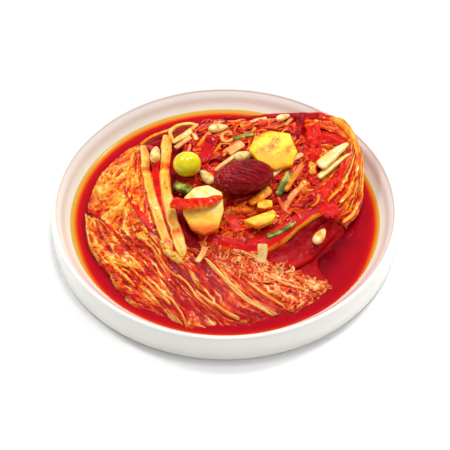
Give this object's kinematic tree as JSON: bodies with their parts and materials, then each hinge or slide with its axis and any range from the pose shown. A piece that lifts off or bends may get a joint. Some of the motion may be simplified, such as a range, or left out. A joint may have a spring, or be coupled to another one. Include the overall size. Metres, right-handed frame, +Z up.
{
  "type": "kimchi in a dish",
  "caption": "Folded cabbage kimchi standing in red brine in a shallow round white dish, topped with jujube, ginkgo nut, chestnut slices, pine nuts, green onion and chilli.",
  "frame": {"origin": "centre of the dish's base, on the surface it stands on", "axes": "+Z up; -Y towards the viewer of the fan of leaf tips; +X to the right, towards the heart"},
  "size_m": [0.2, 0.2, 0.0466],
  "materials": {
    "glaze": "smooth white glazed ceramic, glossy",
    "brine": "clear red chilli brine, wet and mirror smooth, orange where it thins at the dish",
    "cabbage": "wet cabbage leaf, yellow to orange and red with seasoning",
    "rib": "wet pale cream leaf rib, stained orange at its edges",
    "leaf": "smooth wet leaf soaked red, orange at its edge",
    "seasoning": "wet red chilli seasoning with threads of radish",
    "jujube": "wrinkled dark maroon skin, wet",
    "ginkgo": "smooth wet yellow-green",
    "chestnut": "pared chestnut, pale yellow, stained orange by the seasoning",
    "pine_nut": "smooth cream, slightly wet",
    "onion": "wet green onion, streaked",
    "radish": "wet cut radish, cream stained salmon red",
    "chilli": "wet cut red chilli"
  },
  "bodies": {
    "root": {"dish": "glaze", "brine": "brine", "cabbage": "cabbage", "rib_left": "rib", "rib_right": "rib", "heart_slab_back": "rib", "heart_slab_front": "rib", "stalk_corner": "rib", "stalk_side": "rib", "stalk_low": "rib", "stuffing": "seasoning", "red_leaf": "leaf", "dark_leaf": "leaf", "back_leaf": "leaf", "jujube": "jujube", "ginkgo_nut": "ginkgo", "chestnut_back": "chestnut", "chestnut_front": "chestnut", "chestnut_wedge": "chestnut", "chestnut_chip": "chestnut", "pine_nut_rib": "pine_nut", "pine_nut_back": "pine_nut", "pine_nut_middle": "pine_nut", "pine_nut_by_ginkgo": "pine_nut", "pine_nut_pool": "pine_nut", "pine_nut_corner": "pine_nut", "onion_by_ginkgo": "onion", "onion_back": "onion", "onion_middle": "onion", "onion_front": "onion", "onion_heart": "onion", "pepper_round": "chilli", "chilli_wedge": "chilli", "chilli_strip": "chilli", "chilli_long": "chilli", "chilli_short": "chilli", "chilli_back": "chilli", "radish_back": "radish", "radish_right": "radish", "radish_front": "radish", "radish_left": "radish"}
  },
  "joints": []
}
